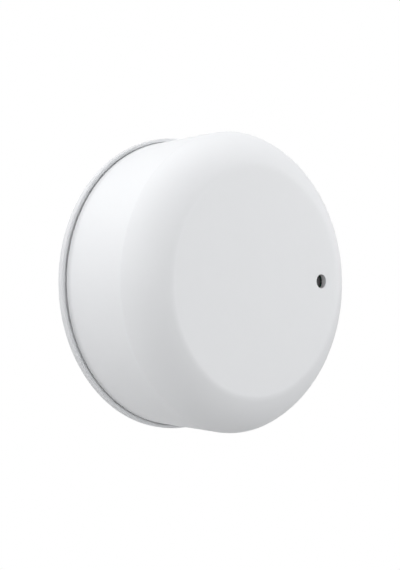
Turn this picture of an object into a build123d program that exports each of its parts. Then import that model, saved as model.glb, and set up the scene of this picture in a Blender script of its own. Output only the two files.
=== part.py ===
from build123d import *
from math import asin, atan2, cos, hypot, radians, sin, sqrt
import os

os.makedirs("parts", exist_ok=True)

# Wall-mounted radio beacon: a white puck that twists onto a round wall plate.
# The pieces are drawn on the bench, lying on their back: x to the right, y up the wall and z
# out of the wall, from the wall's face at 0. stand_up turns them into the part's own frame,
# with the wall's face on y = 0, the front towards -y and +z up. All sizes are millimetres.
# The puck is as wide and as deep as its cells, board and wall plate need.

# Wall plate
plate_thickness = 1.4
plate_lip = 0.84
plate_front_round = 0.15
plate_back_round = 0.25
hub_gap = 0.4
hub_rise = 0.8
channel_lip = 0.7
channel_depth = 0.5
relief_margin = 4.0
relief_width = 5.0
relief_depth = 0.4
ring_clearance = 0.85
ring_wall = 1.4
wall_screw_spacing = 34.0
wall_screw_hole = 2.1
countersink_radius = 3.9

# Foam pad in the back of the wall plate
pad_width = 24.0
pad_height = 34.0
pad_corner = 3.0
pad_thickness = 0.7
pad_clearance = 0.25

# Twist lock: tabs on the plate's ring, hooks on the rear cover
lock_count = 3
lock_first_angle = 30.0
tab_sweep = 18.0
tab_reach = 1.6
tab_thickness = 1.1
stop_sweep = 3.0
hook_sweep = 12.0
hook_wall = 1.6
hook_floor_gap = 0.9
lug_thickness = 1.3
lug_overlap = 1.2
lock_side_gap = 0.4
lock_lift_gap = 0.2
lock_turn_gap = 0.5
detent_rise = 0.3
detent_groove = 0.6

# Housing: side wall that widens to a crease, and a cap that rounds over to a flat disc
shadow_gap = 0.3
wall_flare = 0.3
cap_reach = 7.3
cap_height = 6.2
cap_round = 11.5
disc_blend = 4.0
housing_wall = 1.9
front_wall = 2.0
rear_edge_break = 0.1
boss_radius = 2.5
boss_x = 12.0
boss_gap = 3.15
ledge_width = 1.25
ledge_thickness = 1.0
weld = 0.5

# Rear cover, its seal and its screws
cover_lift = 0.5
cover_thickness = 1.8
cover_clearance = 0.3
seal_thickness = 0.6
seal_clearance = 0.1
screw_radius = 0.9
thread_clearance = 0.05
screw_head_radius = 2.1
screw_head_height = 1.0
screw_length = 8.0
screw_clearance = 0.2
screw_recess = 1.1
drive_socket = 0.55
drive_depth = 0.7
label_width = 26.0
label_height = 12.0
label_thickness = 0.15

# Two size AAA cells, side by side behind the board
cell_radius = 5.25
cell_length = 44.5
cell_spacing = 0.5
cell_nub_radius = 1.9
cell_nub_height = 0.8
cell_edge = 0.6
cell_clearance = 0.2
cushion_clearance = 0.1
cushion_thickness = 0.5
cushion_width = 10.0
cushion_height = 18.0

# Battery tray
tray_wall = 0.9
tray_floor = 1.0
tray_corner_trim = 1.0
tray_edge_clearance = 0.3
tray_wall_height = 8.6
finger_width = 16.0
finger_depth = 4.5
peg_radius = 1.0
peg_inset_x = 4.5
peg_inset_y = 2.8
peg_stand = 0.5
peg_clearance = 0.1

# Battery contacts, bent from strip
contact_space = 1.9
strip_thickness = 0.35
contact_width = 6.2
contact_height = 8.4
leaf_width = 4.0
leaf_length = 6.4
contact_gap = 0.1
contact_tab_width = 2.0
contact_tab_stand = 0.6
contact_tab_clearance = 0.15

# Circuit board, with every part on its front face
board_edge_clearance = 2.7
board_thickness = 1.2
board_room = 2.6
board_boss_radius = 2.1
board_boss_inset = 4.5
board_hole_clearance = 0.4
board_screw_radius = 0.8
board_screw_head = 1.5
board_screw_head_height = 1.0
board_screw_grip = 2.6

# Push button behind the pin hole in the front
pin_hole_radius = 1.45
pin_hole_wall = 1.1
pin_well_gap = 0.3
pin_hole_inset = 5.05
plunger_recess = 1.15
plunger_clearance = 0.32
plunger_head = 2.1
plunger_head_thickness = 0.5
plunger_head_gap = 0.2
plunger_foot_radius = 0.8
plunger_crown = 0.25
press_travel = 0.3
press_stop_gap = 0.05
switch_size = 4.6
switch_plate_thickness = 0.2
switch_well_clearance = 0.15
switch_well_spare = 0.25
switch_dome_rise = 0.2
switch_dome_thickness = 0.08
switch_leg_width = 0.7
switch_leg_reach = 0.8
switch_leg_height = 0.3
switch_leg_pitch = 3.0

# Radio module, with its shield and aerial, at the left of the board
module_inset = 11.0
module_width = 9.0
module_height = 12.0
module_thickness = 0.8
shield_margin = 0.8
shield_stand = 1.3
shield_corner = 0.6
antenna_gap = 1.1
antenna_width = 1.6
antenna_height = 3.2
antenna_stand = 1.1

# The board's other parts, on columns and rows that start at the radio module
column_pitch = 3.5
row_pitch = 4.0
passive_pitch = 2.2
passive_count = 5
crystal_width = 3.2
crystal_height = 2.5
crystal_stand = 0.8
clock_width = 1.5
clock_height = 3.2
clock_stand = 0.9
reservoir_width = 7.3
reservoir_height = 4.3
reservoir_stand = 1.9
converter_size = 3.0
converter_stand = 1.0
inductor_size = 3.2
inductor_stand = 1.5
sensor_size = 2.0
sensor_stand = 0.9
light_gap = 1.1
light_width = 0.8
light_height = 1.6
light_stand = 0.7
capacitor_width = 1.0
capacitor_height = 1.2
capacitor_stand = 0.6
resistor_width = 1.6
resistor_height = 0.8
resistor_stand = 0.45
pad_radius = 0.7
pad_stand = 0.1

# Depths that follow, measured from the wall
hub_thickness = plate_thickness + hub_rise
channel_floor = plate_thickness - channel_depth
housing_rear = plate_thickness + shadow_gap
hook_bottom = plate_thickness + hook_floor_gap
lug_top = hook_bottom + lug_thickness
tab_bottom = lug_top + lock_lift_gap
ring_top = tab_bottom + tab_thickness
cover_rear = ring_top + cover_lift
cover_front = cover_rear + cover_thickness
ledge_rear = cover_front + seal_thickness
cushion_front = cover_front + cushion_thickness
cell_depth = cushion_front + cushion_clearance + cell_radius
tray_inner = cell_depth + cell_radius + cell_clearance
board_rear = tray_inner + tray_floor
board_front = board_rear + board_thickness
front_inner = board_front + board_room
overall_depth = front_inner + front_wall
crease_depth = overall_depth - cap_height
switch_top = front_inner - plunger_head_gap - plunger_head_thickness - press_travel - press_stop_gap
switch_body_top = switch_top - switch_plate_thickness
plunger_foot_bottom = switch_body_top - press_travel
switch_well_floor = plunger_foot_bottom - press_travel - switch_well_spare

# Widths and radii that follow, from the cells outwards
cell_pitch = 2 * cell_radius + cell_spacing
tray_half_length = cell_length / 2 + contact_space + tray_wall
tray_half_width = cell_pitch / 2 + cell_radius + cell_clearance + tray_wall
tray_radius = hypot(tray_half_length, tray_half_width) - tray_corner_trim
ledge_inner = tray_radius + tray_edge_clearance
rear_inner = ledge_inner + ledge_width
rear_edge_radius = rear_inner + housing_wall
crease_radius = rear_edge_radius + wall_flare
disc_radius = crease_radius - cap_reach
plate_radius = rear_edge_radius + plate_lip
channel_outer = plate_radius - channel_lip
relief_outer = plate_radius - relief_margin
relief_inner = relief_outer - relief_width
ring_radius = rear_inner - ring_clearance
tab_outer = ring_radius - ring_wall
tab_inner = tab_outer - tab_reach
hook_outer = tab_inner - lock_side_gap
hook_inner = hook_outer - hook_wall
lug_outer = tab_inner + lug_overlap
hub_radius = hook_inner - hub_gap
boss_y = tray_half_width + boss_gap
peg_x = tray_half_length - peg_inset_x
peg_y = tray_half_width - peg_inset_y
contact_strip_x = cell_length / 2 + contact_space - strip_thickness / 2
pin_hole_x = disc_radius - pin_hole_inset
switch_well = plunger_foot_radius + switch_well_clearance

# The cap's round runs from the crease to the disc, about one centre for its outside and inside
cap_chord = hypot(cap_reach, cap_height)
crease_slope = radians(90) - atan2(cap_height, cap_reach) - asin(cap_chord / 2 / cap_round)
cap_centre_radius = crease_radius - cap_round * cos(crease_slope)
cap_centre_depth = crease_depth - cap_round * sin(crease_slope)
inner_round = cap_round - housing_wall
crease_inner = cap_centre_radius + inner_round * cos(crease_slope)
crease_inner_depth = cap_centre_depth + inner_round * sin(crease_slope)
inner_lift = front_inner - cap_centre_depth
disc_inner = cap_centre_radius + sqrt(inner_round**2 - inner_lift**2)

# Places on the board that follow
board_radius = crease_inner - board_edge_clearance
board_boss_y = board_radius - board_boss_inset
module_x = module_inset - board_radius
antenna_x = module_x - module_width / 2 - antenna_gap - antenna_width / 2
light_x = pin_hole_x - switch_size / 2 - light_gap - light_width / 2

side_plane = Plane.XZ
seat = (Align.CENTER, Align.CENTER, Align.MIN)


def inner_radius(depth):
    """Inside radius of the widening side wall at a depth."""
    share = (depth - housing_rear) / (crease_inner_depth - housing_rear)
    return rear_inner + (crease_inner - rear_inner) * share


def post(x, y, radius, bottom, top):
    """An upright cylinder between two depths."""
    return Pos(x, y, bottom) * Cylinder(radius, top - bottom, align=seat)


def block(x, y, width, height, bottom, top):
    """An upright block between two depths."""
    return Pos(x, y, bottom) * Box(width, height, top - bottom, align=seat)


def ring(outer, inner, bottom, top):
    """A round wall about the axis."""
    return post(0, 0, outer, bottom, top) - post(0, 0, inner, bottom, top)


def arc_block(inner, outer, sweep, bottom, top):
    """A stretch of round wall over a sweep in degrees, from the x axis."""
    place = Pos((inner + outer) / 2, (bottom + top) / 2)
    section = side_plane * place * Rectangle(outer - inner, top - bottom)
    return revolve(section, Axis.Z, revolution_arc=sweep)


def around(first, piece):
    """One copy of a piece at each lock, the first at the given angle."""
    step = 360 / lock_count
    return [Rot(0, 0, first + step * turn) * piece for turn in range(lock_count)]


def corners(x, y):
    """The four mirrored places of one corner."""
    return [(x, y), (-x, y), (-x, -y), (x, -y)]


def both(value):
    """A place above the middle and its mirror below."""
    return (value, -value)


def stand_up(piece):
    """From the bench to the part's own frame."""
    return Rot(90, 0, 0) * piece


def save(name, *pieces):
    """Write one node, as one solid or a group of like solids."""
    turned = [stand_up(piece) for piece in pieces]
    node = turned[0] if len(turned) == 1 else Compound(children=turned)
    export_step(node, os.path.join("parts", name + ".step"))


def plate_lock():
    """One tab of the twist lock, with the stop and the detent rib beside it."""
    foot = plate_thickness - weld
    tab = arc_block(tab_inner, tab_outer + weld, tab_sweep, tab_bottom, ring_top)
    stop = arc_block(tab_inner, tab_outer + weld, stop_sweep, foot, tab_bottom)
    rib_angle = radians(stop_sweep + lock_turn_gap + hook_sweep / 2)
    rib_x = tab_outer * cos(rib_angle)
    rib_y = tab_outer * sin(rib_angle)
    return [tab, stop, post(rib_x, rib_y, detent_rise, foot, lug_top)]


def screw_hole(x):
    """Countersunk hole for one wall screw."""
    depth = countersink_radius - wall_screw_hole
    cone = Cone(wall_screw_hole, countersink_radius, depth, align=seat)
    return [post(x, 0, wall_screw_hole, 0, hub_thickness), Pos(x, 0, hub_thickness - depth) * cone]


def wall_plate():
    """Round plate on the wall, with the ring and tabs that hold the puck."""
    plate = post(0, 0, plate_radius, 0, plate_thickness)
    plate = fillet(plate.edges().sort_by(Axis.Z)[-1], plate_front_round)
    plate = fillet(plate.edges().sort_by(Axis.Z)[0], plate_back_round)
    plate -= ring(channel_outer, ring_radius, channel_floor, plate_thickness)
    plate += post(0, 0, hub_radius, plate_thickness - weld, hub_thickness)
    plate += ring(ring_radius, tab_outer, plate_thickness - weld, ring_top)
    for piece in plate_lock():
        for copy in around(lock_first_angle, piece):
            plate += copy
    plate -= ring(relief_outer, relief_inner, 0, relief_depth)
    pad_room = RectangleRounded(
        pad_width + 2 * pad_clearance,
        pad_height + 2 * pad_clearance,
        pad_corner + pad_clearance,
    )
    plate -= extrude(pad_room, pad_thickness)
    for x in both(wall_screw_spacing / 2):
        for cut in screw_hole(x):
            plate -= cut
    return plate


def adhesive_pad():
    """Foam pad that sits in the back of the plate, flush with it."""
    outline = RectangleRounded(pad_width, pad_height, pad_corner)
    return extrude(outline, pad_thickness)


def housing_section():
    """Half section of the shell: widening wall, crease, round cap and flat disc."""
    sides = [
        Line((rear_edge_radius, housing_rear), (crease_radius, crease_depth)),
        RadiusArc((crease_radius, crease_depth), (disc_radius, overall_depth), -cap_round),
        Line((disc_radius, overall_depth), (0, overall_depth)),
        Line((0, overall_depth), (0, front_inner)),
        Line((0, front_inner), (disc_inner, front_inner)),
        RadiusArc((disc_inner, front_inner), (crease_inner, crease_inner_depth), inner_round),
        Line((crease_inner, crease_inner_depth), (rear_inner, housing_rear)),
        Line((rear_inner, housing_rear), (rear_edge_radius, housing_rear)),
    ]
    return side_plane * make_face(sides)


def front_housing():
    """The white shell, with its screw bosses, seal ledge and pin hole."""
    shell = revolve(housing_section(), Axis.Z)
    rims = shell.edges().filter_by(GeomType.CIRCLE).sort_by(Axis.Z)
    shell = fillet(rims[-1], disc_blend)
    rear_rims = shell.edges().filter_by(GeomType.CIRCLE).group_by(Axis.Z)[0]
    shell = fillet(rear_rims.sort_by(SortBy.LENGTH)[-1], rear_edge_break)
    ledge_outer = inner_radius(ledge_rear) + weld
    shell += ring(ledge_outer, ledge_inner, ledge_rear, ledge_rear + ledge_thickness)
    boss_root = front_inner + weld
    pilot = screw_radius + thread_clearance
    for x, y in corners(boss_x, boss_y):
        shell += post(x, y, boss_radius, cover_front, boss_root)
        shell -= post(x, y, pilot, cover_front, cover_front + screw_length)
    board_pilot = board_screw_radius + thread_clearance
    for y in both(board_boss_y):
        shell += post(0, y, board_boss_radius, board_front, boss_root)
        shell -= post(0, y, board_pilot, board_front, board_front + board_screw_grip)
    shell -= post(pin_hole_x, 0, pin_hole_radius, front_inner, overall_depth)
    well = plunger_head + pin_well_gap
    shell -= post(pin_hole_x, 0, well, front_inner, overall_depth - pin_hole_wall)
    return shell


def cover_hook():
    """One hook of the twist lock: an upright with a grooved lug."""
    upright = arc_block(hook_inner, hook_outer, hook_sweep, hook_bottom, cover_rear + weld)
    lug = arc_block(hook_outer - weld, lug_outer, hook_sweep, hook_bottom, lug_top)
    groove_angle = radians(hook_sweep / 2)
    groove_x = lug_outer * cos(groove_angle)
    groove_y = lug_outer * sin(groove_angle)
    return upright + lug - post(groove_x, groove_y, detent_groove, hook_bottom, lug_top)


def rear_cover():
    """Disc that closes the shell, with the three hooks of the twist lock."""
    cover_radius = inner_radius(cover_rear) - cover_clearance
    cover = post(0, 0, cover_radius, cover_rear, cover_front)
    hook_start = lock_first_angle + stop_sweep + lock_turn_gap
    for copy in around(hook_start, cover_hook()):
        cover += copy
    head_room = screw_head_radius + screw_clearance
    for x, y in corners(boss_x, boss_y):
        cover -= post(x, y, screw_radius + screw_clearance, cover_rear, cover_front)
        cover -= post(x, y, head_room, cover_rear, cover_rear + screw_recess)
    return cover


def cover_seal():
    """Flat ring between the rear cover and the shell's ledge."""
    outer = inner_radius(cover_front) - seal_clearance
    return ring(outer, ledge_inner, cover_front, ledge_rear)


def screw(x, y, under_head, head_radius, head_height, radius, reach):
    """Pan-head screw driven from the back, with its head's underside at a depth."""
    head_top = under_head - head_height
    body = post(x, y, head_radius, head_top, under_head)
    body += post(x, y, radius, under_head - head_height / 2, under_head + reach)
    return body - post(x, y, drive_socket, head_top, head_top + drive_depth)


def cover_screws():
    """Four screws through the rear cover into the shell's bosses."""
    under_head = cover_rear + screw_recess
    reach = screw_length - screw_clearance
    return [
        screw(x, y, under_head, screw_head_radius, screw_head_height, screw_radius, reach)
        for x, y in corners(boss_x, boss_y)
    ]


def blank_label():
    """Plain label stuck on the back of the rear cover."""
    return block(0, 0, label_width, label_height, cover_rear - label_thickness, cover_rear)


def cell(y, side):
    """One AAA cell along x, with its nub towards the given side."""
    can_length = cell_length - cell_nub_height
    can = Cylinder(cell_radius, can_length)
    can = fillet(can.edges().filter_by(GeomType.CIRCLE), cell_edge)
    nub = Pos(0, 0, can_length / 2) * Cylinder(cell_nub_radius, 2 * cell_nub_height)
    body = Pos(0, 0, -cell_nub_height / 2) * (can + nub)
    return Pos(0, y, cell_depth) * Rot(0, 90 * side, 0) * body


def tray_outline(inset):
    """Rectangle with its corners cut round by the shell, drawn in by an inset."""
    box = Rectangle(2 * (tray_half_length - inset), 2 * (tray_half_width - inset))
    return box & Circle(tray_radius - inset)


def tab_slot(y, bottom, top):
    """Slot for a contact's solder tab."""
    width = contact_tab_width + 2 * contact_tab_clearance
    depth = strip_thickness + 2 * contact_tab_clearance
    return block(contact_strip_x, y, depth, width, bottom, top)


def battery_tray():
    """Open tray for both cells, with pegs through the board."""
    rim = tray_inner - tray_wall_height
    tray = Pos(0, 0, rim) * extrude(tray_outline(0), board_rear - rim)
    tray -= Pos(0, 0, rim) * extrude(tray_outline(tray_wall), tray_wall_height)
    tray -= block(0, 0, finger_width, 3 * tray_half_width, rim, rim + finger_depth)
    for x, y in corners(peg_x, peg_y):
        tray += post(x, y, peg_radius, board_rear - weld, board_front + peg_stand)
    for y in both(cell_pitch / 2):
        tray -= tab_slot(y, tray_inner, board_rear)
    return tray


def contact_leaf(y):
    """Bowed leaf that presses on the end of a cell, at the right."""
    rise = contact_space - strip_thickness - contact_gap
    half = leaf_length / 2
    bow = (half * half + rise * rise) / (2 * rise)
    band = Circle(bow) - Circle(bow - strip_thickness)
    centre_x = contact_strip_x - strip_thickness / 2 - rise + bow
    keep_x = contact_strip_x - rise / 2
    keep = Pos(keep_x, cell_depth) * Rectangle(rise + strip_thickness, leaf_length)
    section = side_plane * ((Pos(centre_x, cell_depth) * band) & keep)
    return Pos(0, y, 0) * extrude(section, leaf_width / 2, both=True)


def contact_plate(y):
    """Flat strip against the tray's end wall, with its leaf, at the right."""
    low = cell_depth - contact_height / 2
    high = cell_depth + contact_height / 2
    plate = block(contact_strip_x, y, strip_thickness, contact_width, low, high)
    return plate + contact_leaf(y)


def end_contact(y):
    """Contact at the right end of a cell, with a tab soldered through the board."""
    top = board_front + contact_tab_stand
    tab = block(contact_strip_x, y, strip_thickness, contact_tab_width, cell_depth, top)
    return contact_plate(y) + tab


def contact_bridge():
    """Contact at the left that joins the two cells in series."""
    pair = contact_plate(cell_pitch / 2) + contact_plate(-cell_pitch / 2)
    low = cell_depth - contact_height / 4
    high = cell_depth + contact_height / 4
    pair += block(contact_strip_x, 0, strip_thickness, cell_pitch, low, high)
    return Rot(0, 0, 180) * pair


def cell_cushion():
    """Foam on the rear cover that keeps the cells in the tray."""
    return block(0, 0, cushion_width, cushion_height, cover_front, cushion_front)


def circuit_board():
    """Round board with holes for the bosses, pegs, screws and contact tabs."""
    board = post(0, 0, board_radius, board_rear, board_front)
    boss_hole = boss_radius + board_hole_clearance
    for x, y in corners(boss_x, boss_y):
        board -= post(x, y, boss_hole, board_rear, board_front)
    for x, y in corners(peg_x, peg_y):
        board -= post(x, y, peg_radius + peg_clearance, board_rear, board_front)
    for y in both(board_boss_y):
        board -= post(0, y, board_screw_radius + screw_clearance, board_rear, board_front)
    for y in both(cell_pitch / 2):
        board -= tab_slot(y, board_rear, board_front)
    return board


def board_screws():
    """Two small screws that hold the board on its bosses."""
    reach = board_thickness + board_screw_grip - screw_clearance
    sizes = (board_screw_head, board_screw_head_height, board_screw_radius, reach)
    return [screw(0, y, board_rear, *sizes) for y in both(board_boss_y)]


def switch_body():
    """Moulded body of the push switch, with a well for the plunger's foot."""
    body = block(pin_hole_x, 0, switch_size, switch_size, board_front, switch_body_top)
    return body - post(pin_hole_x, 0, switch_well, switch_well_floor, switch_body_top)


def switch_plate():
    """Steel plate on top of the switch, with the plunger's hole."""
    plate = block(pin_hole_x, 0, switch_size, switch_size, switch_body_top, switch_top)
    return plate - post(pin_hole_x, 0, switch_well, switch_body_top, switch_top)


def switch_dome():
    """Steel snap dome on the well's floor, drawn as it lies when pressed."""
    half = plunger_foot_radius
    bow = (half * half + switch_dome_rise * switch_dome_rise) / (2 * switch_dome_rise)
    shell = Sphere(bow) - Sphere(bow - switch_dome_thickness)
    cap = shell & block(0, 0, 2 * half, 2 * half, bow - switch_dome_rise, bow)
    return Pos(pin_hole_x, 0, switch_well_floor + switch_dome_rise - bow) * cap


def switch_legs():
    """Four solder legs, two each side of the switch."""
    leg_y = switch_size / 2 + switch_leg_reach / 2
    top = board_front + switch_leg_height
    return [
        block(pin_hole_x + x, y, switch_leg_width, switch_leg_reach, board_front, top)
        for x, y in corners(switch_leg_pitch / 2, leg_y)
    ]


def button_plunger():
    """Dark plunger in the pin hole, kept in by its head behind the front wall."""
    head_top = front_inner - plunger_head_gap
    head_bottom = head_top - plunger_head_thickness
    shaft_radius = pin_hole_radius - plunger_clearance
    shaft = post(pin_hole_x, 0, shaft_radius, head_bottom, overall_depth - plunger_recess)
    crown = shaft.edges().filter_by(GeomType.CIRCLE).sort_by(Axis.Z)[-1]
    plunger = fillet(crown, plunger_crown)
    plunger += post(pin_hole_x, 0, plunger_head, head_bottom, head_top)
    plunger += post(pin_hole_x, 0, plunger_foot_radius, plunger_foot_bottom, head_top)
    return plunger


def chip(x, y, width, height, stand):
    """A part soldered flat on the board."""
    return block(x, y, width, height, board_front, board_front + stand)


def column(count):
    """Place across the board, in columns from the radio module's edge."""
    return module_x + module_width / 2 + column_pitch * count


def row(count):
    """Place up the board, in rows from its middle."""
    return row_pitch * count


def passive_steps():
    """Offsets of a run of small parts, centred on its middle."""
    middle = (passive_count - 1) / 2
    return [passive_pitch * (step - middle) for step in range(passive_count)]


def radio_shield():
    """Tin can over the radio's chips, on its own small board."""
    base = board_front + module_thickness
    width = module_width - 2 * shield_margin
    height = module_height - 2 * shield_margin
    can = block(module_x, 0, width, height, base, base + shield_stand)
    return fillet(can.edges().filter_by(Axis.Z), shield_corner)


def ceramic_capacitors():
    """Run of capacitors beside the radio module."""
    sizes = (capacitor_width, capacitor_height, capacitor_stand)
    return [chip(column(1), step, *sizes) for step in passive_steps()]


def chip_resistors():
    """Run of resistors across the middle of the board."""
    sizes = (resistor_width, resistor_height, resistor_stand)
    return [chip(column(4), step, *sizes) for step in passive_steps()]


def test_pads():
    """Run of plated pads for programming."""
    y = row(-3)
    top = board_front + pad_stand
    return [post(column(3) + step, y, pad_radius, board_front, top) for step in passive_steps()]


save("wall_plate", wall_plate())
save("adhesive_pad", adhesive_pad())
save("front_housing", front_housing())
save("rear_cover", rear_cover())
save("cover_seal", cover_seal())
save("cover_screws", *cover_screws())
save("blank_label", blank_label())
save("battery_tray", battery_tray())
save("battery_cell_upper", cell(cell_pitch / 2, 1))
save("battery_cell_lower", cell(-cell_pitch / 2, -1))
save("contact_positive", end_contact(cell_pitch / 2))
save("contact_negative", end_contact(-cell_pitch / 2))
save("contact_bridge", contact_bridge())
save("cell_cushion", cell_cushion())
save("circuit_board", circuit_board())
save("board_screws", *board_screws())
save("switch_body", switch_body())
save("switch_plate", switch_plate())
save("switch_dome", switch_dome())
save("switch_legs", *switch_legs())
save("button_plunger", button_plunger())
save("radio_module_board", chip(module_x, 0, module_width, module_height, module_thickness))
save("radio_shield", radio_shield())
save("chip_antenna", chip(antenna_x, 0, antenna_width, antenna_height, antenna_stand))
save("radio_crystal", chip(column(1), row(2), crystal_width, crystal_height, crystal_stand))
save("clock_crystal", chip(column(1), row(-2), clock_width, clock_height, clock_stand))
save("bulk_capacitor", chip(column(3), row(2), reservoir_width, reservoir_height, reservoir_stand))
save("voltage_converter", chip(column(6), row(1), converter_size, converter_size, converter_stand))
save("power_inductor", chip(column(6), row(-1), inductor_size, inductor_size, inductor_stand))
save("motion_sensor", chip(column(2), 0, sensor_size, sensor_size, sensor_stand))
save("status_light", chip(light_x, 0, light_width, light_height, light_stand))
save("ceramic_capacitors", *ceramic_capacitors())
save("chip_resistors", *chip_resistors())
save("test_pads", *test_pads())
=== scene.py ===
"""A wall-mounted radio beacon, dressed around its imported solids."""
import math

import bmesh
import bpy
from bpy.props import FloatProperty, FloatVectorProperty, PointerProperty
from mathutils import Matrix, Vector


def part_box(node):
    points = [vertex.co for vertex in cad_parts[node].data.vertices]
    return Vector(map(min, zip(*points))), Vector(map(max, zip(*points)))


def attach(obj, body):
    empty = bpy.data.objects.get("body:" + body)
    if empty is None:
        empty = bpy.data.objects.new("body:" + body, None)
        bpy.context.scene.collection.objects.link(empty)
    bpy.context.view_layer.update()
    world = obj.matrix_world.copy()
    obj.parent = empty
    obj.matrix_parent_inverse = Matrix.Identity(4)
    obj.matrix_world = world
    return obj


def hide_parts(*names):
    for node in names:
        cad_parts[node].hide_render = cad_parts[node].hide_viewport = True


bl_info = {
    "name": "Wall Beacon",
    "version": (1, 0, 0),
    "blender": (4, 5, 0),
    "location": "View3D > Sidebar > Beacon",
    "description": "Makes the shell, wall plate, button, cells and board of a wall-mounted beacon",
    "category": "Add Mesh",
}

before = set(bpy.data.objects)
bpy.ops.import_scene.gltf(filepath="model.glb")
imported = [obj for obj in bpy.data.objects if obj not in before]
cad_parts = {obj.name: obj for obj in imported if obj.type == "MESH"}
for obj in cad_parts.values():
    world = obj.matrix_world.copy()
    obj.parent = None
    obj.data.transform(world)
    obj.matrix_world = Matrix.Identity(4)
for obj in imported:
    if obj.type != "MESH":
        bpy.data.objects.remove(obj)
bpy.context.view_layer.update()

# Lengths in properties are metres, and pieces are modelled in millimetres about the puck's axis
MM = 0.001
FULL_TURN = 2 * math.pi
QUARTER_TURN = math.pi / 2
SHARP_ANGLE = math.radians(28)
MERGE_DISTANCE = 0.0005
FOAM_EDGE = 0.08

# Where the screws stand, across and up, in millimetres
COVER_SCREWS = [(x, z) for x in (-12, 12) for z in (-15, 15)]
BOARD_SCREWS = [(0, -21.54), (0, 21.54)]


def length(label, note, millimetres):
    """A length property, given in millimetres."""
    return FloatProperty(name=label, description=note, default=millimetres * MM, unit="LENGTH")


def colour(label, note, red, green, blue):
    """A colour property."""
    return FloatVectorProperty(
        name=label, description=note, default=(red, green, blue), size=3, subtype="COLOR", min=0, max=1
    )


def angle(label, note, degrees):
    """An angle property, given in degrees."""
    return FloatProperty(name=label, description=note, default=math.radians(degrees), unit="ROTATION")


class ShellSizes(bpy.types.PropertyGroup):
    """Sizes of the white shell and the hole for its button."""

    rear_radius: length("Rear Radius", "Outside of the side wall at its rear edge", 30.161)
    rear_depth: length("Rear Edge", "From the wall to the rear edge", 1.7)
    crease_radius: length("Crease Radius", "Outside of the side wall at the crease", 30.461)
    crease_depth: length("Crease", "From the wall to the crease", 19.1)
    crease_edge: length("Crease Edge", "How far the crease is eased on each side", 0.16)
    cap_round: length("Cap Round", "Radius of the cap between the crease and the disc", 11.5)
    disc_radius: length("Disc Radius", "Where the cap would meet the flat disc", 23.161)
    disc_blend: length("Disc Blend", "Radius that softens the disc's border", 4.0)
    depth: length("Depth", "From the wall to the flat disc", 25.3)
    wall: length("Wall", "Thickness of the side wall and cap", 1.9)
    front_wall: length("Front Wall", "Thickness behind the flat disc", 2.0)
    ledge_radius: length("Ledge Radius", "Inside of the ledge for the seal", 27.011)
    ledge_depth: length("Ledge", "From the wall to the ledge's rear face", 7.8)
    ledge_thickness: length("Ledge Thickness", "Thickness of the ledge", 1.0)
    hole_radius: length("Hole Radius", "Radius of the button's hole", 1.45)
    hole_place: length("Hole Place", "From the axis to the hole", 18.111)
    hole_edge: length("Hole Edge", "Round on the rim of the hole", 0.05)
    hole_wall: length("Hole Wall", "Thickness of the front round the hole", 1.1)
    well_radius: length("Well Radius", "Radius of the well behind the hole", 2.4)


class PlateSizes(bpy.types.PropertyGroup):
    """Sizes of the round plate that stays on the wall."""

    radius: length("Radius", "Outside of the plate", 31.0)
    thickness: length("Thickness", "Thickness of the plate's rim", 1.4)
    front_round: length("Front Round", "Round on the front of the rim", 0.15)
    back_round: length("Back Round", "Round on the back of the rim", 0.25)
    channel_radius: length("Channel Radius", "Outside of the channel under the shell's edge", 30.3)
    channel_depth: length("Channel Depth", "Depth of the channel", 0.5)
    hub_radius: length("Hub Radius", "Raised middle of the plate", 22.011)
    hub_thickness: length("Hub Thickness", "Thickness of the raised middle", 2.2)
    ring_radius: length("Ring Radius", "Outside of the ring that carries the tabs", 27.411)
    ring_wall: length("Ring Wall", "Thickness of the ring", 1.4)
    ring_depth: length("Ring", "From the wall to the ring's front", 4.9)
    tab_reach: length("Tab Reach", "How far a tab stands in from the ring", 1.6)
    tab_rear: length("Tab Rear", "From the wall to a tab's rear face", 3.8)
    screw_spacing: length("Screw Spacing", "Distance between the two wall screws", 34.0)
    screw_hole: length("Screw Hole", "Radius of a wall screw's hole", 2.1)
    countersink: length("Countersink", "Radius of the hole's countersink at the front", 3.9)
    pad_width: length("Pad Width", "Width of the foam pad", 24.0)
    pad_height: length("Pad Height", "Height of the foam pad", 34.0)
    pad_corner: length("Pad Corner", "Corner radius of the foam pad", 3.0)
    pad_thickness: length("Pad Thickness", "Thickness of the foam pad", 0.7)


class BeaconColours(bpy.types.PropertyGroup):
    """Colours of the outside and of the parts inside."""

    shell: colour("Shell", "White satin moulding", 0.792, 0.802, 0.818)
    plate: colour("Plate", "White satin moulding of the wall plate", 0.715, 0.725, 0.74)
    plunger: colour("Button", "Dark moulding in the pin hole", 0.07, 0.07, 0.072)
    foam: colour("Foam", "Closed-cell foam", 0.62, 0.63, 0.64)
    laminate: colour("Board", "Solder mask over copper", 0.02, 0.16, 0.08)
    sleeve: colour("Sleeve", "Printed sleeve of a cell", 0.30, 0.33, 0.36)
    tray: colour("Tray", "Black moulding of the battery tray", 0.10, 0.10, 0.105)
    hole: colour("Hole", "Shaded wall of the pin hole", 0.5, 0.5, 0.51)
    tin: colour("Tin", "Plating of leads, lids and soldered ends", 0.62, 0.62, 0.60)
    chip: colour("Chip", "Black moulding of the chips", 0.04, 0.04, 0.042)
    ceramic: colour("Ceramic", "Fired ceramic of the small parts", 0.62, 0.56, 0.45)


class StageSizes(bpy.types.PropertyGroup):
    """Camera, floor and light."""

    turn: angle("Turn", "How far the camera stands to the left of the axis", 42.3)
    tilt: angle("Tilt", "How far the camera stands above the axis", -0.2)
    roll: angle("Roll", "Roll of the camera", -0.7)
    distance: length("Distance", "From the camera to the point that it looks at", 221.4)
    lens: FloatProperty(name="Lens", description="Focal length in millimetres", default=68.18)
    floor_drop: length("Floor", "How far the floor lies under the axis", 140.0)
    ambient: FloatProperty(name="Ambient", description="Light from all round", default=0.05)


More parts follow.
